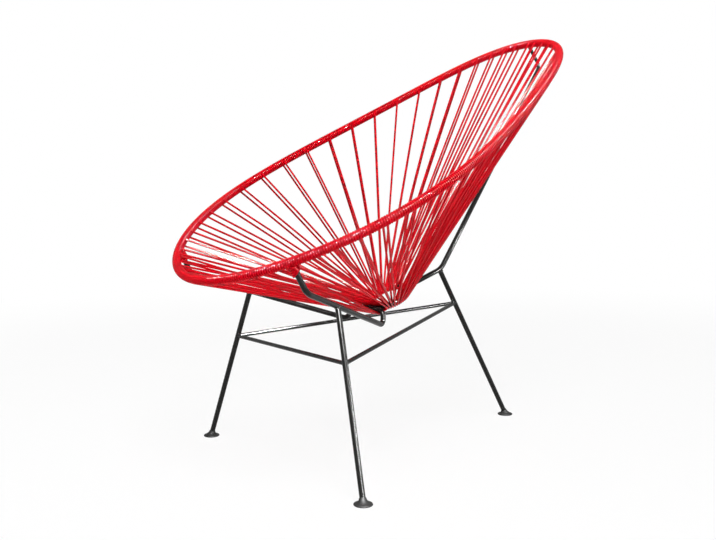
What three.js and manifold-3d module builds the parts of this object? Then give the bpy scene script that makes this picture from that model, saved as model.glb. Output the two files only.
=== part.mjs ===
// A lounge chair for patio and porch: an egg-shaped hoop of steel rod on a three-legged rod frame,
// its bucket seat strung with round plastic cord between the hoop and a small ring under the seat.
// Millimetres, +Z up, front towards -Y, floor at z = 0. Left and right are the sitter's own, left is +X.

import * as THREE from 'three';
import { mergeVertices } from 'three/addons/utils/BufferGeometryUtils.js';
import Module from 'manifold-3d';

const wasm = await Module();
wasm.setup();

const { degToRad } = THREE.MathUtils;
const vec = (x, y, z) => new THREE.Vector3(x, y, z);
const up = vec(0, 0, 1);

// Stock: the diameters of the rods and of the cord, and the clearance between pieces that touch
const hoopDiameter = 9.5;
const rodDiameter = 11;
const braceDiameter = 8;
const stayDiameter = 8;
const ringRodDiameter = 7;
const cordDiameter = 4;
const seatGap = 0.3;

// Hoop: an egg on a tilted plane, wider in front, with both ends bent a little off the plane
const hoopSpan = 1025.7;
const hoopHalfWidth = 322.6;
const hoopHeight = 630.2;
const hoopMiddle = 1.6;
const hoopTilt = degToRad(27.8);
const hoopBow = 3.4;
const hoopCurl = 11.4;
const eggShares = [1, -0.372, 0.052, 0.251];

// Hub: the ring under the seat, parallel to the hoop
const ringRadius = 43;
const ringHeight = 313.5;
const ringPlace = 11;

// Spine: from just ahead of the ring's rear, a straight run, a bend, and a straight run behind the back
const spineRise = degToRad(18.2);
const spineDrop = 7.2;
const spineLead = 6.1;
const spineRun = 118.3;
const spineBend = 40;
const backRise = degToRad(54.3);
const backRun = 330;

// Stay: lapped on the upper end of the spine, then bent forward to the top of the hoop
const stayLap = 60;
const stayCornerDrop = 49.5;
const stayBend = 14;

// Arms: from the hoop down to a shoulder, back and in to an elbow, up, and in to meet as one crossbar
const armPlace = 231.7;
const shoulderSpread = 2.8;
const shoulderSetback = 29.2;
const shoulderDrop = 56.2;
const shoulderBend = 28;
const elbowSpread = 57;
const elbowDrop = 30.2;
const elbowBend = 11;
const barLead = 62;
const barDrop = 18.5;

// Legs, their braces and their feet
const footSpread = 275.2;
const frontFoot = -276.5;
const rearFoot = 370.4;
const frontLegShare = 0.362;
const rearLegSetback = 4.9;
const frontBraceHeight = 232.4;
const rearBraceHeight = 283;
const footDiameter = 34.7;
const footEdge = 2;
const footHeight = 7;
const footNeckDiameter = 16;

// Seat cords: spokes of two strands, their spacing on the hoop closest in front and at the top
const spokesPerSide = 27;
const spokesPerNode = 3;
const frontCrowding = { extraShare: 0.75, reachShare: 0.29, power: 4 };
const topCrowding = { extraShare: 1.19, reachShare: 0.116, power: 2 };

// Cord wrapped round each arm under the hoop
const armWrap = { loops: 2, pitch: 4.5, start: 11.5 };

// Facets
const rodSides = 10;
const hoopSides = 8;
const cordSides = 5;
const loopSteps = 6;
const wrapSteps = 16;
const hoopStep = 48;
const ringSteps = 36;
const bendStep = degToRad(15);
const footSides = 24;
const spacingSteps = 400;

const hoopRadius = hoopDiameter / 2;
const rodRadius = rodDiameter / 2;
const braceRadius = braceDiameter / 2;
const stayRadius = stayDiameter / 2;
const ringRodRadius = ringRodDiameter / 2;
const cordRadius = cordDiameter / 2;

const steel = { color: 0x1d1d1c, roughness: 0.3, metalness: 0.2 };
const redCord = { color: 0xc8101e, roughness: 0.35, metalness: 0 };
const footPlastic = { color: 0x222221, roughness: 0.6, metalness: 0 };

const chair = new THREE.Group();

function addPiece(name, geometry, finish) {
  const piece = new THREE.Mesh(geometry, new THREE.MeshStandardMaterial(finish));
  piece.name = name;
  chair.add(piece);
}

// Adds a piece on the left and its mirror image on the right.
function addPair(stem, geometry, finish, tail = '') {
  addPiece(`${stem}_left${tail}`, geometry, finish);
  addPiece(`${stem}_right${tail}`, mirrored(geometry), finish);
}

function mirrored(geometry) {
  const copy = geometry.clone().scale(-1, 1, 1);
  const corners = copy.index.array;
  for (let i = 0; i < corners.length; i += 3) {
    [corners[i], corners[i + 1]] = [corners[i + 1], corners[i]];
  }
  return copy;
}

// Solids and cuts

function solidOf(geometry) {
  return new wasm.Manifold(new wasm.Mesh({
    numProp: 3,
    vertProperties: new Float32Array(geometry.attributes.position.array),
    triVerts: new Uint32Array(geometry.index.array),
  }));
}

function geometryOf(solid) {
  const mesh = solid.getMesh();
  const geometry = new THREE.BufferGeometry();
  geometry.setAttribute('position', new THREE.BufferAttribute(new Float32Array(mesh.vertProperties), 3));
  geometry.setIndex(Array.from(mesh.triVerts));
  return geometry;
}

function cut(geometry, ...tools) {
  const left = tools.reduce((solid, tool) => solid.subtract(solidOf(tool)), solidOf(geometry));
  return geometryOf(left);
}

function join(geometry, ...others) {
  const whole = others.reduce((solid, other) => solid.add(solidOf(other)), solidOf(geometry));
  return geometryOf(whole);
}

// Rods: a row of stations along a route, a ring of corners round each, and a skin over the rings

// A station holds a point of the route, its direction there, and two directions square to it.
function stationsOf(points, closed = false, normal = null) {
  const count = points.length;
  let side = normal;
  return points.map((point, i) => {
    const before = closed ? points[(i + count - 1) % count] : points[Math.max(i - 1, 0)];
    const after = closed ? points[(i + 1) % count] : points[Math.min(i + 1, count - 1)];
    const into = point.clone().sub(before).normalize();
    const away = after.clone().sub(point).normalize();
    const ahead = into.add(away).normalize();
    if (side === null) {
      side = Math.abs(ahead.z) < Math.SQRT1_2 ? up : vec(1, 0, 0);
    }
    const across = (normal ?? side).clone().projectOnPlane(ahead).normalize();
    side = across;
    return { point, ahead, across, other: ahead.clone().cross(across) };
  });
}

// The first corner lies across, or with a turned section half a side away from it.
function ringRound(station, radius, sides, turned = false) {
  return Array.from({ length: sides }, (_, i) => {
    const angle = 2 * Math.PI * (turned ? i + 0.5 : i) / sides;
    return station.point.clone()
      .addScaledVector(station.across, radius * Math.cos(angle))
      .addScaledVector(station.other, radius * Math.sin(angle));
  });
}

// Skins rings of equal counts: closed on itself, or with a flat cap on the first and last ring.
function skin(rings, closed) {
  const sides = rings[0].length;
  const corners = [];
  const spans = closed ? rings.length : rings.length - 1;
  for (let i = 0; i < spans; i++) {
    const here = i * sides;
    const next = ((i + 1) % rings.length) * sides;
    for (let j = 0; j < sides; j++) {
      const k = (j + 1) % sides;
      corners.push(here + j, here + k, next + k, here + j, next + k, next + j);
    }
  }
  if (!closed) {
    const last = (rings.length - 1) * sides;
    for (let j = 1; j < sides - 1; j++) {
      corners.push(0, j + 1, j, last, last + j, last + j + 1);
    }
  }
  const geometry = new THREE.BufferGeometry().setFromPoints(rings.flat());
  geometry.setIndex(corners);
  return geometry;
}

function rod(points, radius, sides = rodSides) {
  return skin(stationsOf(points).map((station) => ringRound(station, radius, sides)), false);
}

// A route through corners, each one rounded to its own radius on the rod's centre line.
function bentRoute(corners, radii) {
  const route = [corners[0]];
  radii.forEach((radius, i) => {
    const corner = corners[i + 1];
    const into = corner.clone().sub(corners[i]).normalize();
    const away = corners[i + 2].clone().sub(corner).normalize();
    const turn = into.angleTo(away);
    const inward = away.clone().projectOnPlane(into).normalize();
    const steps = Math.ceil(turn / bendStep);
    for (let k = 0; k <= steps; k++) {
      const angle = turn * k / steps;
      route.push(corner.clone()
        .addScaledVector(into, radius * (Math.sin(angle) - Math.tan(turn / 2)))
        .addScaledVector(inward, radius * (1 - Math.cos(angle))));
    }
  });
  route.push(corners.at(-1));
  return route;
}

// Hoop

class HoopCurve extends THREE.Curve {
  // Once round from the front middle by way of the left side.
  getPoint(share, target = vec(0, 0, 0)) {
    const turn = 2 * Math.PI * share;
    const along = -Math.cos(turn);
    const width = eggShares.reduce((sum, eggShare, power) => sum + eggShare * along ** power, 0);
    const rise = hoopBow * along ** 2 + hoopCurl * along ** 3;
    const run = hoopSpan / 2 * along;
    return target.set(
      hoopHalfWidth * Math.sin(turn) * width,
      hoopMiddle + run * Math.cos(hoopTilt) - rise * Math.sin(hoopTilt),
      hoopHeight + run * Math.sin(hoopTilt) + rise * Math.cos(hoopTilt),
    );
  }
}

const hoopCurve = new HoopCurve();
const hoopHalf = hoopCurve.getLength() / 2;
const hoopNormal = vec(0, -Math.sin(hoopTilt), Math.cos(hoopTilt));
const halfSteps = Math.round(hoopHalf / hoopStep);
const halfIndex = Array.from({ length: halfSteps + 1 }, (_, i) => i);
const leftPoints = halfIndex.map((i) => hoopCurve.getPointAt(i / halfSteps / 2));
const rightPoints = leftPoints.slice(1, -1).reverse().map((point) => vec(-point.x, point.y, point.z));
const hoopStations = stationsOf([...leftPoints, ...rightPoints], true, hoopNormal);

// The faceted left half at a distance from the front middle: the station before it, and the share after.
function hoopShare(distance) {
  const steps = distance / hoopHalf * halfSteps;
  const before = Math.min(Math.floor(steps), halfSteps - 1);
  return { before, share: steps - before };
}

function hoopSpot(distance) {
  const { before, share } = hoopShare(distance);
  const [start, end] = [leftPoints[before], leftPoints[before + 1]];
  return { point: start.clone().lerp(end, share), ahead: end.clone().sub(start).normalize() };
}

function hoopRing(distance, radius) {
  const { before, share } = hoopShare(distance);
  const ends = ringRound(hoopStations[before + 1], radius, hoopSides);
  return ringRound(hoopStations[before], radius, hoopSides).map((corner, i) => corner.lerp(ends[i], share));
}

const ringRod = (stations, radius) => (
  skin(stations.map((station) => ringRound(station, radius, hoopSides)), true)
);
const hoopTool = ringRod(hoopStations, hoopRadius + seatGap);
const hoopTop = leftPoints.at(-1);
addPiece('rim_hoop', ringRod(hoopStations, hoopRadius), steel);

// Hub ring

const ringRearward = vec(0, Math.cos(hoopTilt), Math.sin(hoopTilt));

// The place on the ring at an angle from its front, by way of the left side.
function ringSpot(angle) {
  const point = vec(0, ringPlace, ringHeight)
    .addScaledVector(ringRearward, -ringRadius * Math.cos(angle))
    .setX(ringRadius * Math.sin(angle));
  return { point, ahead: ringRearward.clone().multiplyScalar(Math.sin(angle)).setX(Math.cos(angle)) };
}

const ringPoints = Array.from({ length: ringSteps }, (_, i) => ringSpot(2 * Math.PI * i / ringSteps).point);
const ringStations = stationsOf(ringPoints, true, hoopNormal);
addPiece('hub_ring', ringRod(ringStations, ringRodRadius), steel);

// Spine, its front end under the rear of the ring

const lowerRun = vec(0, Math.cos(spineRise), Math.sin(spineRise));
const backRunway = vec(0, Math.cos(backRise), Math.sin(backRise));
const spineSeat = ringSpot(Math.PI).point.setX(0)
  .addScaledVector(vec(0, -lowerRun.z, lowerRun.y), -spineDrop);
const spineCorner = spineSeat.clone().addScaledVector(lowerRun, spineRun);
const spineRoute = bentRoute([
  spineSeat.clone().addScaledVector(lowerRun, -spineLead),
  spineCorner,
  spineCorner.clone().addScaledVector(backRunway, backRun),
], [spineBend]);
const spineTool = rod(spineRoute, rodRadius + seatGap);
addPiece('spine', cut(rod(spineRoute, rodRadius), ringRod(ringStations, ringRodRadius + seatGap)), steel);

// Stay, on the front of the spine's upper end

const stayOffset = rodRadius + stayRadius + seatGap;
const stayStart = spineCorner.clone()
  .addScaledVector(backRunway, backRun - stayLap)
  .addScaledVector(vec(0, -backRunway.z, backRunway.y), stayOffset);
const stayRise = (hoopTop.z - stayCornerDrop - stayStart.z) / backRunway.z;
const stayRoute = bentRoute([
  stayStart,
  stayStart.clone().addScaledVector(backRunway, stayRise),
  hoopTop,
], [stayBend]);
const stayTool = rod(stayRoute, stayRadius + seatGap);
addPiece('top_stay', cut(rod(stayRoute, stayRadius), hoopTool), steel);

// Arms, their inner ends butted in the middle

const barMiddle = vec(0, ringPlace - barLead, ringHeight - barDrop);
const elbow = barMiddle.clone().add(vec(elbowSpread, 0, -elbowDrop));
const armTop = hoopSpot(armPlace).point;
const shoulder = armTop.clone().add(vec(shoulderSpread, shoulderSetback, -shoulderDrop));
const armRoute = bentRoute([
  armTop,
  shoulder,
  elbow,
  barMiddle.clone().setX(elbowSpread),
  barMiddle.clone().setX(seatGap / 2),
], [shoulderBend, elbowBend, elbowBend]);
const armTool = rod(armRoute, rodRadius + seatGap);
addPair('arm', cut(rod(armRoute, rodRadius), hoopTool), steel);

// Wraps of the arms: a helix round the straight part under the hoop, with straight ends

const armDown = shoulder.clone().sub(armTop).normalize();
const wrapAcross = vec(1, 0, 0).projectOnPlane(armDown).normalize();
const wrapOther = armDown.clone().cross(wrapAcross);
const wrapRadius = rodRadius + seatGap + cordRadius;

function wrapPoint(loops) {
  const angle = 2 * Math.PI * loops;
  return armTop.clone()
    .addScaledVector(armDown, armWrap.start + armWrap.pitch * loops)
    .addScaledVector(wrapAcross, wrapRadius * Math.cos(angle))
    .addScaledVector(wrapOther, wrapRadius * Math.sin(angle));
}

const wrapCount = armWrap.loops * wrapSteps + 1;
const wrapTurns = Array.from({ length: wrapCount }, (_, i) => wrapPoint(i / wrapSteps));
const beyond = (before, end) => end.clone().sub(before).setLength(cordDiameter).add(end);
const wrapRoute = [
  beyond(wrapTurns[1], wrapTurns[0]),
  ...wrapTurns,
  beyond(wrapTurns.at(-2), wrapTurns.at(-1)),
];
addPair('arm_wrap', rod(wrapRoute, cordRadius, cordSides), redCord);

// The least clear distance between parts of the wrap that are half a loop or more apart.
function leastGap(points) {
  let least = Infinity;
  for (let i = 0; i < points.length; i++) {
    for (let j = i + wrapSteps / 2; j < points.length; j++) {
      least = Math.min(least, points[i].distanceTo(points[j]));
    }
  }
  return least - cordDiameter;
}
console.log(`arm wrap, least gap to itself: ${leastGap(wrapRoute).toFixed(2)} mm`);

// Legs and braces

const padTop = footHeight + seatGap;
const frontJoint = shoulder.clone().lerp(elbow, frontLegShare);
const rearJoint = spineCorner.clone().addScaledVector(lowerRun, -rearLegSetback);
const frontLeg = [vec(footSpread, frontFoot, 0), frontJoint];
const rearLeg = [vec(0, rearFoot, 0), rearJoint];

const atHeight = ([low, high], height) => low.clone().lerp(high, (height - low.z) / (high.z - low.z));

function legSolid(line, tool) {
  const trimmed = solidOf(cut(rod(line, rodRadius), tool)).trimByPlane([0, 0, 1], padTop);
  return geometryOf(trimmed);
}

const frontLegTool = rod(frontLeg, rodRadius + seatGap);
const rearLegTool = rod(rearLeg, rodRadius + seatGap);
addPair('leg_front', legSolid(frontLeg, armTool), steel);
addPiece('leg_rear', legSolid(rearLeg, spineTool), steel);

const frontNode = atHeight(frontLeg, frontBraceHeight);
const rearNode = atHeight(rearLeg, rearBraceHeight);
const frontBrace = [frontNode.clone().setX(-frontNode.x), frontNode];
const frontBraceTool = rod(frontBrace, braceRadius + seatGap);
const sideBrace = cut(rod([frontNode, rearNode], braceRadius), frontLegTool, rearLegTool, frontBraceTool);
const sideBraceHalf = geometryOf(solidOf(sideBrace).trimByPlane([1, 0, 0], seatGap / 2));
addPiece('brace_front', cut(rod(frontBrace, braceRadius), frontLegTool, mirrored(frontLegTool)), steel);
addPair('brace', sideBraceHalf, steel);

// Feet: flared pads with flat soles

const footProfile = [
  new THREE.Vector2(0, 0),
  new THREE.Vector2(footDiameter / 2, 0),
  new THREE.Vector2(footDiameter / 2, footEdge),
  new THREE.Vector2(footNeckDiameter / 2, footHeight),
  new THREE.Vector2(0, footHeight),
];

function footAt(line) {
  const foot = new THREE.LatheGeometry(footProfile, footSides).rotateX(Math.PI / 2);
  foot.deleteAttribute('normal').deleteAttribute('uv');
  const place = atHeight(line, footHeight / 2);
  return mergeVertices(foot.translate(place.x, place.y, 0));
}

addPair('foot_front', footAt(frontLeg), footPlastic);
addPiece('foot_rear', footAt(rearLeg), footPlastic);

// Seat cords

// The spokes' distances from the front middle, by a density that grows towards both ends.
function spokeDistances() {
  const crowd = ({ extraShare, reachShare, power }, share) => (
    extraShare * Math.exp(-((share / reachShare) ** power))
  );
  const density = (share) => 1 + crowd(frontCrowding, share) + crowd(topCrowding, 1 - share);
  const sums = [0];
  for (let i = 0; i < spacingSteps; i++) {
    sums.push(sums[i] + density((i + 0.5) / spacingSteps));
  }
  return Array.from({ length: spokesPerSide + 1 }, (_, i) => {
    const wanted = sums.at(-1) * i / spokesPerSide;
    const next = Math.max(1, sums.findIndex((sum) => sum >= wanted));
    const part = (wanted - sums[next - 1]) / (sums[next] - sums[next - 1]);
    return hoopHalf * (next - 1 + part) / spacingSteps;
  });
}

// The ring's rear spokes clear the spine where their loops come nearest to it.
const ringCord = ringRodRadius + seatGap + cordRadius;
const hoopCord = hoopRadius + seatGap + cordRadius;
const rodCord = rodRadius + seatGap + cordRadius;
const besideSpine = rodCord * ringRadius / (ringRadius - ringCord);
const rearAngle = Math.PI - Math.asin(besideSpine / ringRadius);

// The front and the top spoke stand beside the middle, and no spoke stands in an arm's way.
const besideArm = wrapRadius + cordDiameter + cordRadius;
const distances = spokeDistances().map((distance) => {
  const fromArm = distance - armPlace;
  const clear = Math.abs(fromArm) < besideArm ? armPlace + Math.sign(fromArm) * besideArm : distance;
  return THREE.MathUtils.clamp(clear, besideSpine, hoopHalf - besideSpine);
});

// The corner of a lower strand that is held down by the crossbar, just clear of it on both sides.
function underBar(hoopFoot, ringFoot) {
  const touch = (foot, turn) => {
    const away = foot.clone().sub(barMiddle).setX(0);
    return away.applyAxisAngle(vec(1, 0, 0), turn * Math.acos(rodCord / away.length())).normalize();
  };
  const [outer, inner] = [touch(hoopFoot, 1), touch(ringFoot, -1)];
  const reach = rodCord / (1 + outer.dot(inner));
  const corner = barMiddle.clone().addScaledVector(outer.clone().add(inner), reach);
  const share = (corner.y - hoopFoot.y) / (ringFoot.y - hoopFoot.y);
  return corner.setX(THREE.MathUtils.lerp(hoopFoot.x, ringFoot.x, share));
}

// A spoke comes off the hoop's upper side, loops round the ring and goes back to the hoop's underside.
function spoke(hoopEnd, ringEnd) {
  const run = ringEnd.point.clone().sub(hoopEnd.point);
  const hoopSide = hoopEnd.ahead.clone().cross(run).normalize();
  const ringSide = ringEnd.ahead.clone().cross(run).normalize();
  const inward = ringSide.clone().cross(ringEnd.ahead);
  const loop = Array.from({ length: loopSteps + 1 }, (_, i) => ringEnd.point.clone()
    .addScaledVector(ringSide, ringCord * Math.cos(Math.PI * i / loopSteps))
    .addScaledVector(inward, ringCord * Math.sin(Math.PI * i / loopSteps)));
  const hoopFoot = hoopEnd.point.clone().addScaledVector(hoopSide, -hoopCord);
  const crossesBar = (hoopFoot.y - barMiddle.y) * (loop.at(-1).y - barMiddle.y) < 0;
  const corner = crossesBar ? underBar(hoopFoot, loop.at(-1)) : null;
  const held = crossesBar && corner.x < elbowSpread - rodCord;
  const route = [
    hoopEnd.point.clone().addScaledVector(hoopSide, hoopCord),
    ...loop,
    ...(held ? [corner] : []),
    hoopFoot,
  ];
  const stations = stationsOf(route, false, ringEnd.ahead);
  return skin(stations.map((station) => ringRound(station, cordRadius, cordSides, true)), false);
}

// The turns round the hoop between two distances, as one close sleeve over the hoop's own facets.
function turns(start, end) {
  const between = halfIndex.map((i) => hoopHalf * i / halfSteps).filter((d) => d > start && d < end);
  const places = [start + seatGap / 2, ...between, end - seatGap / 2];
  const outer = places.map((place) => hoopRing(place, hoopRadius + seatGap + cordDiameter));
  const inner = places.map((place) => hoopRing(place, hoopRadius + seatGap));
  return cut(skin([...outer, ...inner.reverse()], true), armTool, stayTool);
}

// Each length of cord holds some spokes and the turns around their ends, up to half way to the next.
function seatCords(firstSpoke) {
  const ownDistances = distances.slice(firstSpoke, firstSpoke + spokesPerSide);
  const cords = [];
  for (let slot = 0; slot < spokesPerSide; slot += spokesPerNode) {
    const after = slot + spokesPerNode;
    const start = slot === 0 ? 0 : (ownDistances[slot - 1] + ownDistances[slot]) / 2;
    const end = after < spokesPerSide ? (ownDistances[after - 1] + ownDistances[after]) / 2 : hoopHalf;
    const spokes = ownDistances.slice(slot, after).map((distance, i) => (
      spoke(hoopSpot(distance), ringSpot(rearAngle * (firstSpoke + slot + i) / spokesPerSide))
    ));
    cords.push(join(turns(start, end), ...spokes));
  }
  return cords;
}

// The left half carries the top spoke and the right half the front one.
seatCords(1).forEach((cord, i) => addPiece(`seat_cord_left_${i + 1}`, cord, redCord));
seatCords(0).forEach((cord, i) => addPiece(`seat_cord_right_${i + 1}`, mirrored(cord), redCord));

// The whole is centred on its box, front to back.
const box = new THREE.Box3().setFromObject(chair);
chair.position.y = -(box.min.y + box.max.y) / 2;

export default chair;
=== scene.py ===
import math

import bpy
from mathutils import Matrix, Quaternion, Vector


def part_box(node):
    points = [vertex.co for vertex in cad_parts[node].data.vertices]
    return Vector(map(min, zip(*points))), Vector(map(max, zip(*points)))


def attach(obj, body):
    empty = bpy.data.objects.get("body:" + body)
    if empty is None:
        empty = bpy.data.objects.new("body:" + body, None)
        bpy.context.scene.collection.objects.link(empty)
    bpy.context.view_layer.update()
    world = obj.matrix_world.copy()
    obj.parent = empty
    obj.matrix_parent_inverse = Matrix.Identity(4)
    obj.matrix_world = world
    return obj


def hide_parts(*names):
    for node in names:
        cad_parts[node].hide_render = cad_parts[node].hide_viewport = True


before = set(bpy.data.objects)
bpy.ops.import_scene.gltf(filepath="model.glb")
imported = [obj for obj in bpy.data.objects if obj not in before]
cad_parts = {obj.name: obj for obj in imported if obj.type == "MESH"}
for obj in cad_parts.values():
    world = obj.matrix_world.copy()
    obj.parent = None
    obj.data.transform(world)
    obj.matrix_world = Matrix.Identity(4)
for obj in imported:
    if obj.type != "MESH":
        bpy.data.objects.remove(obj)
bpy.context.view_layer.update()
scene = bpy.context.scene
print("frame loaded:", len(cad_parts), "solids")

mm = 0.001  # sizes are in millimetres, but for finishes and lamps, which are in metres


# Camera, at the place the photograph was taken from

cameraPlace = {
    "place": (1497.9, -1241.4, 562.6),
    "turn": 54.545,  # degrees round from the front
    "dip": 3.442,
    "lean": -0.752,
    "lens": 45.66,
    "sensor": 36,
    "shift": (0.0485, -0.0477),
}


def makeCamera(numbers):
    turn, dip, lean = (math.radians(numbers[k]) for k in ("turn", "dip", "lean"))
    back = Vector((math.sin(turn) * math.cos(dip), -math.cos(turn) * math.cos(dip), math.sin(dip)))
    level = Vector((math.cos(turn), math.sin(turn), 0))
    upright = level.cross(-back)
    right = math.cos(lean) * level + math.sin(lean) * upright
    top = math.cos(lean) * upright - math.sin(lean) * level
    data = bpy.data.cameras.new("camera")
    data.lens = numbers["lens"]
    data.sensor_width = numbers["sensor"]
    data.shift_x, data.shift_y = numbers["shift"]
    camera = bpy.data.objects.new("camera", data)
    scene.collection.objects.link(camera)
    camera.matrix_world = Matrix((right, top, back)).transposed().to_4x4()
    camera.location = Vector(numbers["place"]) * mm
    scene.camera = camera


makeCamera(cameraPlace)


# Node trees: one wrapper for a socket, one sheet that the nodes are put on


class Wire:
    def __init__(self, sheet, socket):
        self.sheet, self.socket = sheet, socket

    # Another output of the node that this wire comes from.
    def sibling(self, name):
        return Wire(self.sheet, self.socket.node.outputs[name])

    def reckon(self, operation, first, second):
        return self.sheet.node("ShaderNodeMath", {"operation": operation}, {0: first, 1: second})

    def __add__(self, other):
        return self.reckon("ADD", self, other)

    def __radd__(self, other):
        return self.reckon("ADD", other, self)

    def __mul__(self, other):
        return self.reckon("MULTIPLY", self, other)

    def __rmul__(self, other):
        return self.reckon("MULTIPLY", other, self)


class Sheet:
    def __init__(self, tree):
        self.tree = tree

    # A node of any type: its settings go in first, then the values or wires of its sockets.
    def node(self, kind, settings=None, values=None, out=0):
        made = self.tree.nodes.new(kind)
        for name, setting in (settings or {}).items():
            setattr(made, name, setting)
        for name, value in (values or {}).items():
            self.feed(made.inputs[name], value)
        return Wire(self, made.outputs[out]) if made.outputs else None

    def feed(self, socket, value):
        if isinstance(value, Wire):
            self.tree.links.new(value.socket, socket)
        elif isinstance(value, list):  # for a socket that takes several wires
            for wire in value:
                self.feed(socket, wire)
        else:
            socket.default_value = value

    def vector(self, operation, first, second=(0, 0, 0)):
        return self.node("ShaderNodeVectorMath", {"operation": operation}, {0: first, 1: second})

    def along(self, direction, length):
        return self.node("ShaderNodeVectorMath", {"operation": "SCALE"}, {
            "Vector": direction, "Scale": length})


# Materials: a noise is given as its scale, detail and roughness, a bump as its strength and height


def startPaint(name):
    material = bpy.data.materials.new(name)
    material.use_nodes = True
    material.node_tree.nodes.clear()
    sheet = Sheet(material.node_tree)
    return material, sheet, sheet.node("ShaderNodeTexCoord", out="Object")


def noise(sheet, place, numbers):
    scale, detail, roughness = numbers
    return sheet.node("ShaderNodeTexNoise", None, {
        "Vector": place, "Scale": scale, "Detail": detail, "Roughness": roughness})


def bump(sheet, height, numbers):
    strength, distance = numbers
    return sheet.node("ShaderNodeBump", None, {
        "Strength": strength, "Distance": distance, "Height": height})


# From 0 where the surface faces the eye to 1 at its edge, where these finishes lose their gloss.
def edgeOn(sheet):
    facing = sheet.node("ShaderNodeLayerWeight", out="Facing")
    return facing * facing


# The colour sockets of a Mix node share their names with others, so they go by number.
def blendColour(sheet, share, first, second):
    return sheet.node("ShaderNodeMix", {"data_type": "RGBA"}, {0: share, 6: first, 7: second}, 2)


def finishPaint(sheet, values):
    shader = sheet.node("ShaderNodeBsdfPrincipled", None, values)
    sheet.node("ShaderNodeOutputMaterial", None, {"Surface": shader})


framePaint = {
    "colour": (0.0085, 0.0085, 0.0079, 1),
    "dull": (0.0145, 0.0143, 0.0133, 1),
    "roughness": 0.12,
    "addedByHandling": 0.08,
    "addedAtEdges": 0.15,
    "specular": 0.16,
    "patches": (14, 4, 0.6),
    "handling": (90, 3, 0.5),
    "orangePeel": (700, 1, 0.5),
    "peelBump": (0.12, 0.0004),
}


def makeFramePaint(numbers):
    material, sheet, place = startPaint("frame_paint")
    patches = noise(sheet, place, numbers["patches"])
    handling = noise(sheet, place, numbers["handling"])
    peel = noise(sheet, place, numbers["orangePeel"])
    finishPaint(sheet, {
        "Base Color": blendColour(sheet, patches, numbers["colour"], numbers["dull"]),
        "Roughness": (numbers["roughness"] + handling * numbers["addedByHandling"]
                      + edgeOn(sheet) * numbers["addedAtEdges"]),
        "Specular IOR Level": numbers["specular"],
        "Normal": bump(sheet, peel, numbers["peelBump"]),
    })
    return material


cordVinyl = {
    "colour": (0.67, 0.0012, 0.0090, 1),
    "deep": (0.56, 0.0009, 0.0072, 1),
    "roughness": 0.07,
    "addedByScuffs": 0.06,
    "addedAtEdges": 0.12,
    "specular": 0.03,
    "batches": (22, 3, 0.5),
    "scuffs": (260, 3, 0.6),
    "drawMarks": (600, 1, 0.5),
    "drawBump": (0.05, 0.0003),
}


def makeCordVinyl(numbers):
    material, sheet, place = startPaint("seat_cord")
    batches = noise(sheet, place, numbers["batches"])
    scuffs = noise(sheet, place, numbers["scuffs"])
    marks = noise(sheet, place, numbers["drawMarks"])
    finishPaint(sheet, {
        "Base Color": blendColour(sheet, batches, numbers["colour"], numbers["deep"]),
        "Roughness": (numbers["roughness"] + scuffs * numbers["addedByScuffs"]
                      + edgeOn(sheet) * numbers["addedAtEdges"]),
        "Specular IOR Level": numbers["specular"],
        "Normal": bump(sheet, marks, numbers["drawBump"]),
    })
    return material


footPlastic = {
    "colour": (0.0072, 0.0076, 0.0072, 1),
    "worn": (0.0145, 0.0145, 0.0138, 1),
    "roughness": 0.48,
    "addedByWear": 0.2,
    "specular": 0.07,
    "wear": (120, 4, 0.6),
    "grain": (1100, 2, 0.5),
    "grainBump": (0.35, 0.0004),
}


def makeFootPlastic(numbers):
    material, sheet, place = startPaint("foot_plastic")
    wear = noise(sheet, place, numbers["wear"])
    grain = noise(sheet, place, numbers["grain"])
    finishPaint(sheet, {
        "Base Color": blendColour(sheet, wear, numbers["colour"], numbers["worn"]),
        "Roughness": numbers["roughness"] + wear * numbers["addedByWear"],
        "Specular IOR Level": numbers["specular"],
        "Normal": bump(sheet, grain, numbers["grainBump"]),
    })
    return material


paint = makeFramePaint(framePaint)
vinyl = makeCordVinyl(cordVinyl)
plastic = makeFootPlastic(footPlastic)
print("materials made")


# Geometry Nodes trees: each takes a path of vertices and edges and returns the finished surface

sharpAngle = math.radians(50)  # edges that turn by more than this are sharp


# Every tree takes a path, a radius, a number of sides and a finish. Some take more.
def startTree(name, others=()):
    tree = bpy.data.node_groups.new(name, "GeometryNodeTree")
    inputs = (("Path", "Geometry"), ("Radius", "Float"), ("Sides", "Int"),
              ("Finish", "Material"), *others)
    for label, kind in inputs:
        tree.interface.new_socket(label, in_out="INPUT", socket_type="NodeSocket" + kind)
    tree.interface.new_socket("Surface", in_out="OUTPUT", socket_type="NodeSocketGeometry")
    sheet = Sheet(tree)
    entry = sheet.node("NodeGroupInput")
    given = {label: entry.sibling(label) for label, kind in inputs}
    curve = sheet.node("GeometryNodeMeshToCurve", None, {"Mesh": given["Path"]})
    return sheet, given, curve


def readFloat(sheet, name):
    return sheet.node("GeometryNodeInputNamedAttribute", {"data_type": "FLOAT"}, {"Name": name})


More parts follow.
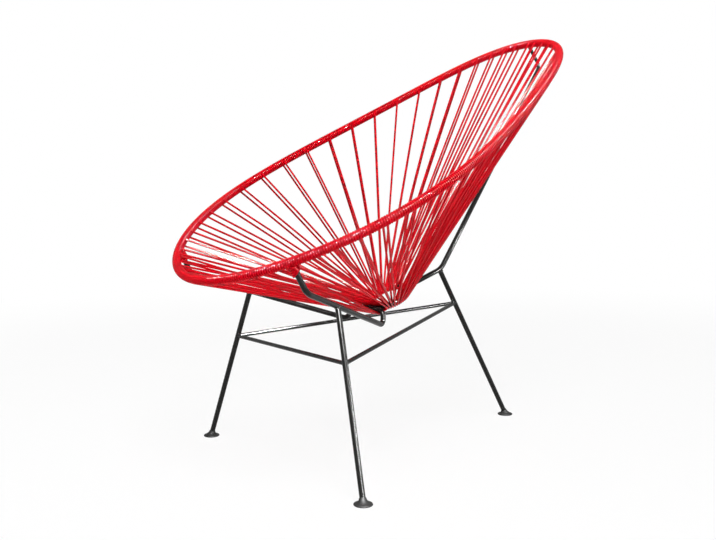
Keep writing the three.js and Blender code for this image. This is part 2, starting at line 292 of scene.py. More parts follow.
# Sweeps a round section along a curve, smooth but for the edges of its flat ends.
def sweep(sheet, given, curve, thickness):
    circle = sheet.node("GeometryNodeCurvePrimitiveCircle", None, {
        "Resolution": given["Sides"], "Radius": given["Radius"]})
    tube = sheet.node("GeometryNodeCurveToMesh", None, {
        "Curve": curve, "Profile Curve": circle, "Scale": thickness, "Fill Caps": True})
    whole = sheet.node("GeometryNodeRealizeInstances", None, {"Geometry": tube})
    smooth = sheet.node("GeometryNodeSetShadeSmooth", {"domain": "FACE"}, {"Geometry": whole})
    bend = sheet.node("GeometryNodeInputMeshEdgeAngle")
    edge = sheet.node("FunctionNodeCompare", {"operation": "GREATER_THAN"}, {
        0: bend, 1: sharpAngle})
    sharp = sheet.node("GeometryNodeSetShadeSmooth", {"domain": "EDGE"}, {
        "Geometry": smooth, "Selection": edge, "Shade Smooth": False})
    painted = sheet.node("GeometryNodeSetMaterial", None, {
        "Geometry": sharp, "Material": given["Finish"]})
    sheet.node("NodeGroupOutput", None, {"Surface": painted})


def makeRodTree():
    sheet, given, curve = startTree("bent rod")
    sweep(sheet, given, curve, readFloat(sheet, "thickness"))
    return sheet.tree


# Where the path is wound, it is the middle line of the rod below, and each point says how far
# the cord has turned.
def makeCordTree():
    sheet, given, curve = startTree("wound and strung cord", (
        ("Reach", "Float"), ("Step", "Float"), ("Upright", "Vector")))
    wound = sheet.node("GeometryNodeSeparateGeometry", {"domain": "CURVE"}, {
        "Geometry": curve, "Selection": readFloat(sheet, "wound")})
    fine = sheet.node("GeometryNodeResampleCurve", {"mode": "LENGTH"}, {
        "Curve": wound, "Length": given["Step"]})
    ahead = sheet.node("GeometryNodeInputTangent")
    inward = sheet.vector("NORMALIZE", sheet.vector("CROSS_PRODUCT", given["Upright"], ahead))
    across = sheet.vector("CROSS_PRODUCT", ahead, inward)
    turned = readFloat(sheet, "turned")
    cosine = sheet.node("ShaderNodeMath", {"operation": "COSINE"}, {0: turned})
    sine = sheet.node("ShaderNodeMath", {"operation": "SINE"}, {0: turned})
    offset = sheet.vector("ADD", sheet.along(across, cosine * given["Reach"]),
                          sheet.along(inward, sine * given["Reach"]))
    laid = sheet.node("GeometryNodeSetPosition", None, {"Geometry": fine, "Offset": offset})
    both = sheet.node("GeometryNodeJoinGeometry", None, {
        "Geometry": [laid, wound.sibling("Inverted")]})
    sweep(sheet, given, both, readFloat(sheet, "thickness"))
    return sheet.tree


weld = {
    "reach": 1.25,
    "pitch": 2.1,  # from one ripple to the next
    "sides": 8,
    "stations": 56,
    "fineness": 3,  # stations of the finished bead for each one of its path
    "plain": 0.75,  # shares of the reach: the plain thickness, and what is added to it
    "ripple": 0.10,
    "unevenness": 0.45,
    "lumps": (350, 2, 0.5),
}


# A bead of weld: rippled along its length, and a little uneven.
def makeWeldTree():
    sheet, given, curve = startTree("weld bead", (("Ripple", "Float"), ("Count", "Int")))
    fine = sheet.node("GeometryNodeResampleCurve", {"mode": "COUNT"}, {
        "Curve": curve, "Count": given["Count"]})
    length = sheet.node("GeometryNodeSplineParameter", out="Length")
    wave = sheet.node("ShaderNodeMath", {"operation": "SINE"}, {0: length * given["Ripple"]})
    lumps = noise(sheet, sheet.node("GeometryNodeInputPosition"), weld["lumps"])
    sweep(sheet, given, fine, weld["plain"] + wave * weld["ripple"] + lumps * weld["unevenness"])
    return sheet.tree


rodTree, cordTree, weldTree = makeRodTree(), makeCordTree(), makeWeldTree()


# What the points of a path hold, unless the path gives its own values.
pointValues = {"thickness": 1.0, "wound": 0.0, "turned": 0.0}


# Puts paths through a tree and returns the plain mesh. A path is a dictionary that holds its
# points, values for them, and whether it is closed.
def runTree(tree, paths, inputs):
    mesh = bpy.data.meshes.new("path")
    points, edges, values = [], [], {name: [] for name in pointValues}
    for path in paths:
        first, count = len(points), len(path["points"])
        points += path["points"]
        edges += [(first + i, first + i + 1) for i in range(count - 1)]
        if path.get("closed"):
            edges.append((first + count - 1, first))
        for name, standard in pointValues.items():
            values[name] += path.get(name) or [standard] * count
    mesh.from_pydata(points, edges, [])
    for name, numbers in values.items():
        mesh.attributes.new(name, "FLOAT", "POINT").data.foreach_set("value", numbers)
    carrier = bpy.data.objects.new("path", mesh)
    scene.collection.objects.link(carrier)
    modifier = carrier.modifiers.new("nodes", "NODES")
    modifier.node_group = tree
    sockets = {item.name: item.identifier
               for item in tree.interface.items_tree if item.in_out == "INPUT"}
    for name, value in inputs.items():
        modifier[sockets[name]] = value
    graph = bpy.context.evaluated_depsgraph_get()
    made = bpy.data.meshes.new_from_object(carrier.evaluated_get(graph), depsgraph=graph)
    bpy.data.objects.remove(carrier)
    bpy.data.meshes.remove(mesh)
    return made


def joinMeshes(meshes):
    parts = [bpy.data.objects.new("part", mesh) for mesh in meshes]
    for part in parts:
        scene.collection.objects.link(part)
    with bpy.context.temp_override(active_object=parts[0], object=parts[0],
                                   selected_objects=parts, selected_editable_objects=parts):
        bpy.ops.object.join()
    joined = parts[0].data
    bpy.data.objects.remove(parts[0])
    return joined


# Makes one piece of the object from plain meshes and stands it in for its solid.
def addPiece(name, meshes, node):
    joined = meshes[0] if len(meshes) == 1 else joinMeshes(meshes)
    for value in pointValues:
        if value in joined.attributes:
            joined.attributes.remove(joined.attributes[value])
    piece = bpy.data.objects.new(name, joined)
    scene.collection.objects.link(piece)
    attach(piece, "root")
    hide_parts(node)


# Hoop: an egg on a tilted plane, measured by its length from the front middle, left positive

hoop = {
    "span": 1025.7,
    "halfWidth": 322.6,
    "height": 630.2,
    "middle": 1.6,
    "tilt": 27.8,
    "bow": 3.4,  # lifts both ends off the plane
    "curl": 11.4,  # lifts the rear end and lowers the front one
    "egg": (1, -0.372, 0.052, 0.251),  # the width from -1 in front to 1 behind, as a polynomial
    "rodDiameter": 9.5,
    "sides": 16,
    "steps": 1600,
    "stations": 160,
}

ring = {
    "radius": 43,
    "height": 313.5,
    "place": 11,
    "rodDiameter": 7,
    "sides": 14,
    "stations": 96,
}

ringLow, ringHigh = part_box("hub_ring")
setback = (ringLow.y + ringHigh.y) / 2 / mm - ring["place"]  # the solids are centred front to back


def at(x, y, z):
    return Vector((x, y + setback, z))


# A direction to the rear that rises by some degrees, and the one square to it that points up.
def rearwardAt(rise):
    return Vector((0, math.cos(math.radians(rise)), math.sin(math.radians(rise))))


def squareTo(run):
    return Vector((0, -run.z, run.y))


hoopRearward = rearwardAt(hoop["tilt"])
hoopUpright = squareTo(hoopRearward)


# The left half of the hoop, from the front at no turn to the top at half a turn.
def hoopCurve(turn):
    along = -math.cos(turn)
    width = sum(share * along ** power for power, share in enumerate(hoop["egg"]))
    rise = hoop["bow"] * along ** 2 + hoop["curl"] * along ** 3
    middle = at(hoop["halfWidth"] * math.sin(turn) * width, hoop["middle"], hoop["height"])
    return middle + hoopRearward * hoop["span"] / 2 * along + hoopUpright * rise


hoopPoints = [hoopCurve(math.pi * i / hoop["steps"]) for i in range(hoop["steps"] + 1)]
hoopLengths = [0.0]
for before, after in zip(hoopPoints, hoopPoints[1:]):
    hoopLengths.append(hoopLengths[-1] + (after - before).length)
hoopHalf = hoopLengths[-1]
hoopRound = 2 * hoopHalf


# The point at a distance along the hoop, and the way that the hoop runs there.
def hoopAt(distance):
    distance = (distance + hoopHalf) % hoopRound - hoopHalf
    length = abs(distance)
    low, high = 0, hoop["steps"]
    while high - low > 1:
        middle = (low + high) // 2
        low, high = (middle, high) if hoopLengths[middle] <= length else (low, middle)
    share = (length - hoopLengths[low]) / (hoopLengths[high] - hoopLengths[low])
    point = hoopPoints[low].lerp(hoopPoints[high], share)
    ahead = (hoopPoints[high] - hoopPoints[low]).normalized()
    if distance < 0:
        point = Vector((-point.x, point.y, point.z))
        ahead = Vector((ahead.x, -ahead.y, -ahead.z))
    return point, ahead


# The same for the hub ring, by the angle from its front.
def ringAt(angle):
    middle = at(0, ring["place"], ring["height"])
    sideways = Vector((1, 0, 0))
    point = middle + ring["radius"] * (math.sin(angle) * sideways - math.cos(angle) * hoopRearward)
    return point, math.cos(angle) * sideways + math.sin(angle) * hoopRearward


def scaled(points):
    return [point * mm for point in points]


chamfer = {"length": 0.09, "share": 0.84}  # of the rod's diameter


# A rod along its middle line, with a small chamfer on each end that shows.
def rodMesh(points, diameter, sides, closed=False, rounded=(False, False)):
    points = [point.copy() for point in points]
    thickness = [1.0] * len(points)
    for end, wanted in zip((0, -1), rounded):
        if wanted:
            spot, inner = (1, points[1]) if end == 0 else (len(points) - 1, points[-2])
            tip = points[end]
            share = diameter * chamfer["length"] / (inner - tip).length
            points.insert(spot, tip.lerp(inner, share))
            thickness.insert(spot, 1.0)
            thickness[end] = chamfer["share"]
    path = {"points": scaled(points), "thickness": thickness, "closed": closed}
    return runTree(rodTree, [path], {"Radius": diameter / 2 * mm, "Sides": sides, "Finish": paint})


hoopLine = [hoopAt(hoopHalf * (2 * i / hoop["stations"] - 1))[0] for i in range(hoop["stations"])]
hoopMesh = rodMesh(hoopLine, hoop["rodDiameter"], hoop["sides"], closed=True)
addPiece("rimHoop", [hoopMesh], "rim_hoop")

ringLine = [ringAt(2 * math.pi * i / ring["stations"])[0] for i in range(ring["stations"])]
ringMesh = rodMesh(ringLine, ring["rodDiameter"], ring["sides"], closed=True)
addPiece("hubRing", [ringMesh], "hub_ring")
print("hoop and ring made")


# Bent rods

bentRods = {
    "rodDiameter": 11,
    "braceDiameter": 8,
    "stayDiameter": 8,
    "sides": 20,
    "bendStep": 6,
    "gap": 0.3,
}


# A route through corners, each one rounded to its own radius on the rod's middle line.
def bentRoute(corners, radii):
    route = [corners[0]]
    for i, radius in enumerate(radii):
        before, corner, after = corners[i:i + 3]
        into, away = (corner - before).normalized(), (after - corner).normalized()
        turn = into.angle(away)
        inward = (away - into * away.dot(into)).normalized()
        steps = math.ceil(math.degrees(turn) / bentRods["bendStep"])
        for k in range(steps + 1):
            angle = turn * k / steps
            route.append(corner + into * radius * (math.sin(angle) - math.tan(turn / 2))
                         + inward * radius * (1 - math.cos(angle)))
    return route + [corners[-1]]


def beadMesh(line, closed, reach, count):
    return runTree(weldTree, [{"points": scaled(line), "closed": closed}], {
        "Radius": reach * mm, "Sides": weld["sides"], "Count": count,
        "Ripple": 2 * math.pi / (weld["pitch"] * mm), "Finish": paint})


# The bead where a rod's end meets the side of another rod: the end is at the other's middle line.
def weldMesh(end, away, diameter, through, otherDiameter):
    away, through = away.normalized(), through.normalized()
    side = away.cross(through).normalized()
    other = away.cross(side)
    points = []
    for i in range(weld["stations"]):
        angle = 2 * math.pi * i / weld["stations"]
        start = end + (side * math.cos(angle) + other * math.sin(angle)) * diameter / 2
        flat = start - end - through * (start - end).dot(through)
        slant = away - through * away.dot(through)
        half = flat.dot(slant) / slant.dot(slant)
        rest = (flat.dot(flat) - (otherDiameter / 2) ** 2) / slant.dot(slant)
        points.append(start + away * (math.sqrt(max(half * half - rest, 0)) - half))
    fineStations = weld["stations"] * weld["fineness"]
    return beadMesh(points, True, weld["reach"], fineStations)


def mirrorPoints(points):
    return [Vector((-point.x, point.y, point.z)) for point in points]


spine = {
    "rise": 18.2,
    "drop": 7.2,  # from the ring's rear to the spine below it
    "lead": 6.1,
    "run": 118.3,
    "bend": 40,
    "backRise": 54.3,
    "backRun": 330,
}

lowerRun = rearwardAt(spine["rise"])
backRun = rearwardAt(spine["backRise"])
ringRear = ringAt(math.pi)[0]
spineSeat = Vector((0, ringRear.y, ringRear.z)) - squareTo(lowerRun) * spine["drop"]
spineCorner = spineSeat + lowerRun * spine["run"]
spineTop = spineCorner + backRun * spine["backRun"]
spineStart = spineSeat - lowerRun * spine["lead"]
spineRoute = bentRoute([spineStart, spineCorner, spineTop], [spine["bend"]])

stay = {"lap": 60, "cornerDrop": 49.5, "bend": 14}

hoopTop = hoopAt(hoopHalf)[0]
stayOffset = (bentRods["rodDiameter"] + bentRods["stayDiameter"]) / 2 + bentRods["gap"]
stayStart = spineTop - backRun * stay["lap"] + squareTo(backRun) * stayOffset
stayCorner = stayStart + backRun * ((hoopTop.z - stay["cornerDrop"] - stayStart.z) / backRun.z)
stayRoute = bentRoute([stayStart, stayCorner, hoopTop], [stay["bend"]])


lapWeld = {"reach": 1.5, "inset": 3, "spread": 2.3, "stations": 20, "fineStations": 170}


# The two beads along the lap of the stay and the spine, one in each groove between the rods.
def lapWelds():
    run = backRun * (stay["lap"] - 2 * lapWeld["inset"])
    start = stayStart + backRun * lapWeld["inset"]
    start = start - squareTo(backRun) * bentRods["stayDiameter"] / 2
    steps = lapWeld["stations"]
    beads = []
    for side in (-1, 1):
        spread = Vector((side * lapWeld["spread"], 0, 0))
        line = [start + run * i / steps + spread for i in range(steps + 1)]
        beads.append(beadMesh(line, False, lapWeld["reach"], lapWeld["fineStations"]))
    return beads


arms = {
    "place": 231.7,  # along the hoop
    "shoulder": (2.8, 29.2, -56.2),
    "shoulderBend": 28,
    "elbowSpread": 57,
    "elbowDrop": 30.2,
    "elbowBend": 11,
    "barLead": 62,
    "barDrop": 18.5,
}

armTop = hoopAt(arms["place"])[0]
shoulder = armTop + Vector(arms["shoulder"])
barMiddle = at(0, ring["place"] - arms["barLead"], ring["height"] - arms["barDrop"])
barCorner = barMiddle + Vector((arms["elbowSpread"], 0, 0))
elbow = barCorner - Vector((0, 0, arms["elbowDrop"]))
armRoute = bentRoute([armTop, shoulder, elbow, barCorner, barMiddle],
                     [arms["shoulderBend"], arms["elbowBend"], arms["elbowBend"]])

legs = {
    "frontFoot": (275.2, -276.5),
    "rearFoot": (0, 370.4),
    "frontShare": 0.362,  # of the way from the arm's shoulder to its elbow
    "rearSetback": 4.9,
    "frontBraceHeight": 232.4,
    "rearBraceHeight": 283,
    "footHeight": 7,
}

frontJoint = shoulder.lerp(elbow, legs["frontShare"])
rearJoint = spineCorner - lowerRun * legs["rearSetback"]
frontFloor = at(*legs["frontFoot"], 0)
rearFloor = at(*legs["rearFoot"], 0)


def atHeight(low, high, height):
    return low.lerp(high, (height - low.z) / (high.z - low.z))


frontNode = atHeight(frontFloor, frontJoint, legs["frontBraceHeight"])
rearNode = atHeight(rearFloor, rearJoint, legs["rearBraceHeight"])


def rodPiece(name, route, diameter, node, welds=(), rounded=(False, False)):
    body = rodMesh(route, diameter, bentRods["sides"], rounded=rounded)
    addPiece(name, [body, *welds], node)


def onSide(flip, points):
    return points if flip == 1 else mirrorPoints(points)


thick, thin, thinStay = bentRods["rodDiameter"], bentRods["braceDiameter"], bentRods["stayDiameter"]
rodPiece("spine", spineRoute, thick, "spine", rounded=(True, True))
rodPiece("topStay", stayRoute, thinStay, "top_stay", lapWelds(), rounded=(True, False))

for side, flip in (("Left", 1), ("Right", -1)):
    tail = side.lower()
    floor, joint, node, rear = onSide(flip, [frontFloor, frontJoint, frontNode, rearNode])
    armAhead = onSide(flip, [elbow - shoulder])[0]
    legAhead = joint - floor
    rodPiece("arm" + side, onSide(flip, armRoute), thick, "arm_" + tail)
    rodPiece("frontLeg" + side, [atHeight(floor, joint, legs["footHeight"]), joint], thick,
             "leg_front_" + tail, [weldMesh(joint, -legAhead, thick, armAhead, thick)])
    rodPiece("sideBrace" + side, [node, rear], thin, "brace_" + tail,
             [weldMesh(node, rear - node, thin, legAhead, thick),
              weldMesh(rear, node - rear, thin, rearJoint - rearFloor, thick)])

rodPiece("rearLeg", [atHeight(rearFloor, rearJoint, legs["footHeight"]), rearJoint], thick,
         "leg_rear", [weldMesh(rearJoint, rearFloor - rearJoint, thick, lowerRun, thick)])
frontOther = mirrorPoints([frontNode])[0]
rodPiece("frontBrace", [frontNode, frontOther], thin, "brace_front",
         [weldMesh(frontNode, frontOther - frontNode, thin, frontJoint - frontFloor, thick),
          weldMesh(frontOther, frontNode - frontOther, thin,
                   mirrorPoints([frontJoint - frontFloor])[0], thick)])
print("rods made")


# Feet: flared pads with a short collar that the leg's end sits in

foot = {
    # the radius and height of each ring, from the middle of the sole to the leg
    "pad": ((0, 0.9), (11.5, 0.9), (12.4, 0), (16.4, 0), (17.1, 0.5), (17.35, 1.3), (17.1, 2.2),
            (16.2, 2.9), (13.4, 4.0), (10.6, 5.4), (8.8, 6.9)),
    "collar": ((7.4, 8.6), (6.8, 10.4), (6.4, 11.6), (6.0, 12.2), (5.4, 12.3)),
    "leanHeight": 5,  # over which the rings tilt from level to square to the leg
    "sides": 40,
}


def footPiece(name, floor, joint, node):
    middle = atHeight(floor, joint, legs["footHeight"] / 2)
    lean = (joint - floor).normalized()
    upright = Vector((0, 0, 1))
    rings = [(Vector((middle.x, middle.y, height)), upright, radius)
             for radius, height in foot["pad"]]
    for radius, height in foot["collar"]:
        share = min(1, (height - legs["footHeight"]) / foot["leanHeight"])
        axis = upright.lerp(lean, share).normalized()
        rings.append((atHeight(floor, joint, height), axis, radius))
    points, faces, sides = [], [], foot["sides"]
    points.append(rings[0][0])
    for centre, axis, radius in rings[1:]:
        turned = upright.rotation_difference(axis)
        for i in range(sides):
            angle = 2 * math.pi * i / sides
            points.append(centre + turned @ Vector((math.cos(angle), math.sin(angle), 0)) * radius)
    for i in range(sides):
        faces.append((0, 1 + (i + 1) % sides, 1 + i))
    for k in range(len(rings) - 2):
        here, above = 1 + k * sides, 1 + (k + 1) * sides
        for i in range(sides):
            j = (i + 1) % sides
            faces.append((here + i, here + j, above + j, above + i))
    last = len(points)
    points.append(rings[-1][0])
    for i in range(sides):
        faces.append((last, last - sides + i, last - sides + (i + 1) % sides))
    mesh = bpy.data.meshes.new(name)
    mesh.from_pydata(scaled(points), [], faces)
    mesh.shade_smooth()
    mesh.set_sharp_from_angle(angle=sharpAngle)
    mesh.materials.append(plastic)
    addPiece(name, [mesh], node)


footPiece("frontFootLeft", frontFloor, frontJoint, "foot_front_left")
footPiece("frontFootRight", *mirrorPoints([frontFloor, frontJoint]), "foot_front_right")
footPiece("rearFoot", rearFloor, rearJoint, "foot_rear")
print("feet made")


# Seat cord: wound round the hoop, and strung to the ring and back at each spoke

cord = {
    "diameter": 4.5,
    "pressed": 1.14,  # a turn's thickness in cord diameters, so that the turns touch
    "laidDiameter": 4,  # of the solids' strands, which the routes follow
    "sides": 12,
    "pitch": 4.55,
    "stepsPerTurn": 16,
    "loopSteps": 9,
    "controlStep": 6,
    "rodGap": 0.3,
    "armRoom": 1.5,  # of the laid diameter
    "bite": 0.1,  # how far a turn sinks into its rod
    "spokesPerSide": 27,
    "spokesPerLength": 3,
    "frontCrowding": (0.75, 0.29, 4),  # how much, how far along, and how sharply it ends
    "topCrowding": (1.19, 0.116, 2),
    "spacingSteps": 400,
    "barSteps": 5,
}

cordRadius = cord["laidDiameter"] / 2
hoopReach = hoop["rodDiameter"] / 2 + cord["rodGap"] + cordRadius
woundReach = (hoop["rodDiameter"] + cord["diameter"] * (2 - cord["pressed"])) / 2 - cord["bite"]
ringReach = ring["rodDiameter"] / 2 + cord["rodGap"] + cordRadius
rodReach = bentRods["rodDiameter"] / 2 + cord["rodGap"] + cordRadius
besideSpine = rodReach * ring["radius"] / (ring["radius"] - ringReach)
rearAngle = math.pi - math.asin(besideSpine / ring["radius"])
besideArm = rodReach + cord["laidDiameter"] * cord["armRoom"]


# The spokes' distances from the front middle, closest in front and at the top, and clear of the
# arms and the spine.
def spokeDistances():
    def crowd(numbers, share):
        extra, reach, power = numbers
        return extra * math.exp(-((share / reach) ** power))

    steps = cord["spacingSteps"]
    sums = [0.0]
    for i in range(steps):
        share = (i + 0.5) / steps
        sums.append(sums[-1] + 1 + crowd(cord["frontCrowding"], share)
                    + crowd(cord["topCrowding"], 1 - share))
    distances = []
    for i in range(cord["spokesPerSide"] + 1):
        wanted = sums[-1] * i / cord["spokesPerSide"]
        after = max(1, next((k for k, total in enumerate(sums) if total >= wanted), steps))
        part = (wanted - sums[after - 1]) / (sums[after] - sums[after - 1])
        distance = hoopHalf * (after - 1 + part) / steps
        fromArm = distance - arms["place"]
        if abs(fromArm) < besideArm:
            distance = arms["place"] + math.copysign(besideArm, fromArm)
        distances.append(min(max(distance, besideSpine), hoopHalf - besideSpine))
    return distances


distances = spokeDistances()


# The directions across the hoop's rod, where it runs ahead: up and off its plane, and inward.
def hoopFrame(ahead):
    inward = hoopUpright.cross(ahead).normalized()
    return ahead.cross(inward), inward


# A spoke: its places on the hoop and the ring, and the turn at which the cord leaves the hoop.
def spokeAt(number, side):
    place = side * distances[number]
    angle = side * rearAngle * number / cord["spokesPerSide"]
    hoopPoint, hoopAhead = hoopAt(place)
    ringPoint, ringAhead = ringAt(angle)
    run = ringPoint - hoopPoint
    hoopSide = hoopAhead.cross(run).normalized()
    across, inward = hoopFrame(hoopAhead)
    return {
        "side": side, "place": place, "run": run, "hoopSide": hoopSide,
        "ringPoint": ringPoint, "ringAhead": ringAhead,
        "leaves": math.atan2(hoopSide.dot(inward), hoopSide.dot(across)),
    }


rightSpokes = [spokeAt(number, -1) for number in reversed(range(cord["spokesPerSide"]))]
leftSpokes = [spokeAt(number, 1) for number in range(1, cord["spokesPerSide"] + 1)]
spokes = rightSpokes + leftSpokes
quarter = cord["pitch"] / 4  # each strand leaves the hoop this far beside its spoke's place


# The bend of a lower strand that the crossbar holds down.
def underBar(hoopFoot, ringFoot):
    def touch(foot, turn):
        away = Vector((0, foot.y - barMiddle.y, foot.z - barMiddle.z))
        slant = Quaternion(Vector((1, 0, 0)), turn * math.acos(rodReach / away.length))
        return (slant @ away).normalized()

    inner, outer = touch(ringFoot, -1), touch(hoopFoot, 1)
    bend = []
    for i in range(cord["barSteps"] + 1):
        spot = barMiddle + inner.slerp(outer, i / cord["barSteps"]) * rodReach
        share = (spot.y - ringFoot.y) / (hoopFoot.y - ringFoot.y)
        bend.append(Vector((ringFoot.x + (hoopFoot.x - ringFoot.x) * share, spot.y, spot.z)))
    return bend


# From the hoop's upper side to the ring, round it through its hole, and back under the hoop.
def spokeRoute(spoke):
    ringSide = spoke["ringAhead"].cross(spoke["run"]).normalized()
    inward = ringSide.cross(spoke["ringAhead"])
    start = hoopAt(spoke["place"] - quarter)[0] + spoke["hoopSide"] * hoopReach
    end = hoopAt(spoke["place"] + quarter)[0] - spoke["hoopSide"] * hoopReach
    loop = []
    for i in range(cord["loopSteps"] + 1):
        angle = math.pi * i / cord["loopSteps"]
        loop.append(spoke["ringPoint"]
                    + ringReach * (math.cos(angle) * ringSide + math.sin(angle) * inward)
                    + spoke["ringAhead"] * quarter * (2 * i / cord["loopSteps"] - 1))
    bend = []
    if (end.y - barMiddle.y) * (loop[-1].y - barMiddle.y) < 0:
        bend = underBar(end, loop[-1])
        if abs(bend[cord["barSteps"] // 2].x) > arms["elbowSpread"] - rodReach:
            bend = []
    return [start, *loop, *bend, end]


# How far the cord has turned at each place on the hoop where a strand leaves it or comes back.
def makeTurns():
    turns, angle = [], spokes[0]["leaves"]
    for spoke, following in zip(spokes, spokes[1:] + spokes[:1]):
        turns.append((spoke["place"] - quarter, angle))
        turns.append((spoke["place"] + quarter, angle + math.pi))
        span = (following["place"] - spoke["place"]) % hoopRound - quarter * 2
        part = following["leaves"] - spoke["leaves"] - math.pi
        whole = round(span / cord["pitch"] - part / (2 * math.pi))
        angle += math.pi + part + whole * 2 * math.pi
    turns.append((turns[0][0] + hoopRound, angle))
    return turns


turns = makeTurns()


# The same for any place on the hoop.
def turnAt(place):
    first, last = turns[0], turns[-1]
    if place < first[0]:
        return turnAt(place + hoopRound) - (last[1] - first[1])
    after = next(i for i, turn in enumerate(turns) if i and turn[0] >= min(place, last[0]))
    (low, lowTurn), (high, highTurn) = turns[after - 1], turns[after]
    return lowTurn + (highTurn - lowTurn) * (place - low) / (high - low)


# The hoop's middle line from one place to another, with the angle that the cord has reached.
def windingPath(start, end):
    places = [start] + [place for place, _ in turns if start < place < end] + [end]
    fine = []
    for low, high in zip(places, places[1:]):
        steps = math.ceil((high - low) / cord["controlStep"])
        fine += [low + (high - low) * i / steps for i in range(steps)]
    fine.append(end)
    return {
        "points": scaled([hoopAt(place)[0] for place in fine]),
        "wound": [1.0] * len(fine),
        "thickness": [cord["pressed"]] * len(fine),
        "turned": [turnAt(place) for place in fine],
    }


# The reach, the step and the upright only matter for a path that is wound.
def cordMesh(paths):
    return runTree(cordTree, paths, {
        "Radius": cord["diameter"] / 2 * mm, "Sides": cord["sides"], "Finish": vinyl,
        "Reach": woundReach * mm, "Step": cord["pitch"] / cord["stepsPerTurn"] * mm,
        "Upright": tuple(hoopUpright)})


# Between two spokes, and at the front middle where one is on each side.
def halfway(first, second):
    if first["side"] != second["side"]:
        return 0
    return (first["place"] + second["place"]) / 2


# One length of cord: its spokes, and the turns as far as halfway to the spokes on either side.
def cordLength(name, first, node):
    last = first + cord["spokesPerLength"] - 1
    start = halfway(spokes[first - 1], spokes[first]) if first else -hoopHalf
    end = halfway(spokes[last], spokes[last + 1]) if last + 1 < len(spokes) else hoopHalf
    paths = [windingPath(start, end)]
    paths += [{"points": scaled(spokeRoute(spoke))} for spoke in spokes[first:last + 1]]
    addPiece(name, [cordMesh(paths)], node)


lengthsPerSide = cord["spokesPerSide"] // cord["spokesPerLength"]
for k in range(lengthsPerSide):
    fromTop = lengthsPerSide - k
    cordLength(f"seatCordRight{fromTop}", k * cord["spokesPerLength"], f"seat_cord_right_{fromTop}")
    cordLength(f"seatCordLeft{k + 1}", (k + lengthsPerSide) * cord["spokesPerLength"],
               f"seat_cord_left_{k + 1}")
print("seat cord strung:", len(spokes), "spokes")


# Turns of cord round each arm, under the hoop

armWrap = {
    "from": -1.0,  # in turns
    "to": 2.8,
    "start": 11.7,  # down the arm from the hoop
    "pitch": 4.1,
    "fan": 1.7,
    "stepsPerTurn": 24,
}


# The turns lie close together behind and fan out towards the front, as the cord comes down there.
def wrapPiece(name, flip, node):
    armDown = (shoulder - armTop).normalized()
    ahead = hoopAt(arms["place"])[1]
    frontward = (armDown * ahead.dot(armDown) - ahead).normalized()
    inward = armDown.cross(frontward)
    reach = (bentRods["rodDiameter"] + cord["diameter"]) / 2 - cord["bite"]
    steps = round((armWrap["to"] - armWrap["from"]) * armWrap["stepsPerTurn"])
    points = []
    for i in range(steps + 1):
        turn = armWrap["from"] + i / armWrap["stepsPerTurn"]
        angle = math.pi + 2 * math.pi * turn
        down = armWrap["start"] + turn * (armWrap["pitch"] + armWrap["fan"] * math.cos(angle))
        points.append(armTop + armDown * down
                      + reach * (math.cos(angle) * frontward + math.sin(angle) * inward))
    made = cordMesh([{"points": scaled(onSide(flip, points))}])
    addPiece(name, [made], node)


wrapPiece("armWrapLeft", 1, "arm_wrap_left")
wrapPiece("armWrapRight", -1, "arm_wrap_right")
print("arm wraps made")


# Floor, backdrop and lamps

studio = {
    "floorHalf": 30,
    "floorShade": 0.93,
    "lift": 0.89,  # how far the floor near the object is lifted to white
    "shadowReach": (1.2, 3.0),
    "worldLight": 0.29,
    "lamps": (
        {"name": "key", "power": 67, "size": (1.0, 1.0),
         "place": (1.3, -0.8, 2.7), "aim": (0, 0, 0.5)},
        {"name": "fill", "power": 20, "size": (1.2, 1.2),
         "place": (-1.6, -2.4, 1.8), "aim": (0, 0, 0.4)},
        {"name": "side", "power": 4, "size": (1.0, 1.0),
         "place": (2.4, 1.8, 0.9), "aim": (0, 0, 0.5)},
        {"name": "glint", "power": 3900, "size": (0.36, 0.36), "glossOnly": True,
         "place": (2.15, -1.05, 2.2), "aim": (0, 0, 0.5)},
        {"name": "sheen", "power": 150, "size": (0.3, 0.3), "glossOnly": True,
         "place": (2.4, 1.85, 0.95), "aim": (0, 0, 0.5)},
        {"name": "strip", "power": 230, "size": (0.28, 1.2), "glossOnly": True,
         "place": (2.6, -0.05, 0.6), "aim": (0, -0.3, 0.6)},
    ),
}


# 1 where the camera looks, directly or by gloss or glass, and 0 for the light on the object.
def seenDirectly(sheet):
    rays = sheet.node("ShaderNodeLightPath")
    total = (rays.sibling("Is Camera Ray") + rays.sibling("Is Glossy Ray")
             + rays.sibling("Is Transmission Ray"))
    return sheet.node("ShaderNodeClamp", None, {"Value": total})


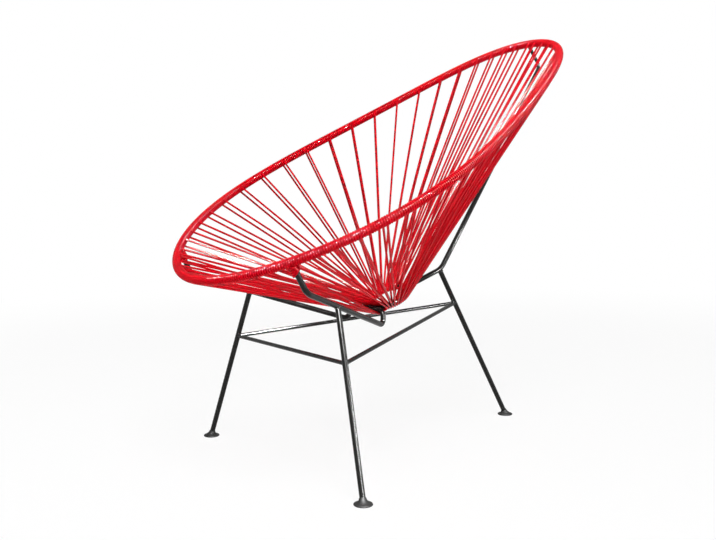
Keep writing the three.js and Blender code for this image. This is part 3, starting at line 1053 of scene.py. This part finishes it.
# The floor shows the object's shadow near it, and is plain white further out.
def makeFloor(numbers):
    half = numbers["floorHalf"]
    mesh = bpy.data.meshes.new("floor")
    corners = [(-half, -half, 0), (half, -half, 0), (half, half, 0), (-half, half, 0)]
    mesh.from_pydata(corners, [], [(0, 1, 2, 3)])
    material, sheet, place = startPaint("floor")
    shade = numbers["floorShade"]
    matt = sheet.node("ShaderNodeBsdfDiffuse", None, {"Color": (shade, shade, shade, 1)})
    light = sheet.node("ShaderNodeEmission", None, {"Color": (1, 1, 1, 1), "Strength": 1.0})
    away = sheet.node("ShaderNodeVectorMath", {"operation": "LENGTH"}, {0: place}, "Value")
    near, far = numbers["shadowReach"]
    lift = sheet.node("ShaderNodeMapRange", {"interpolation_type": "SMOOTHSTEP"}, {
        "Value": away, "From Min": near, "From Max": far,
        "To Min": numbers["lift"], "To Max": 1.0})
    mixed = sheet.node("ShaderNodeMixShader", None, {
        0: seenDirectly(sheet) * lift, 1: matt, 2: light})
    sheet.node("ShaderNodeOutputMaterial", None, {"Surface": mixed})
    mesh.materials.append(material)
    floor = bpy.data.objects.new("floor", mesh)
    scene.collection.objects.link(floor)


def makeWorld(numbers):
    world = bpy.data.worlds.new("studio")
    world.use_nodes = True
    world.node_tree.nodes.clear()
    sheet = Sheet(world.node_tree)
    level = numbers["worldLight"] + seenDirectly(sheet) * (1 - numbers["worldLight"])
    sky = sheet.node("ShaderNodeBackground", None, {"Color": (1, 1, 1, 1), "Strength": level})
    sheet.node("ShaderNodeOutputWorld", None, {"Surface": sky})
    scene.world = world


def makeLamp(lamp):
    data = bpy.data.lights.new(lamp["name"], "AREA")
    data.shape, data.energy = "RECTANGLE", lamp["power"]
    data.size, data.size_y = lamp["size"]
    light = bpy.data.objects.new(lamp["name"], data)
    light.visible_diffuse = not lamp.get("glossOnly")
    scene.collection.objects.link(light)
    place, aim = Vector(lamp["place"]), Vector(lamp["aim"])
    light.location = place
    light.rotation_mode = "QUATERNION"
    light.rotation_quaternion = (aim - place).to_track_quat("-Z", "Y")


makeFloor(studio)
makeWorld(studio)
for lamp in studio["lamps"]:
    makeLamp(lamp)

scene.view_settings.view_transform = "Standard"

print("scene made")
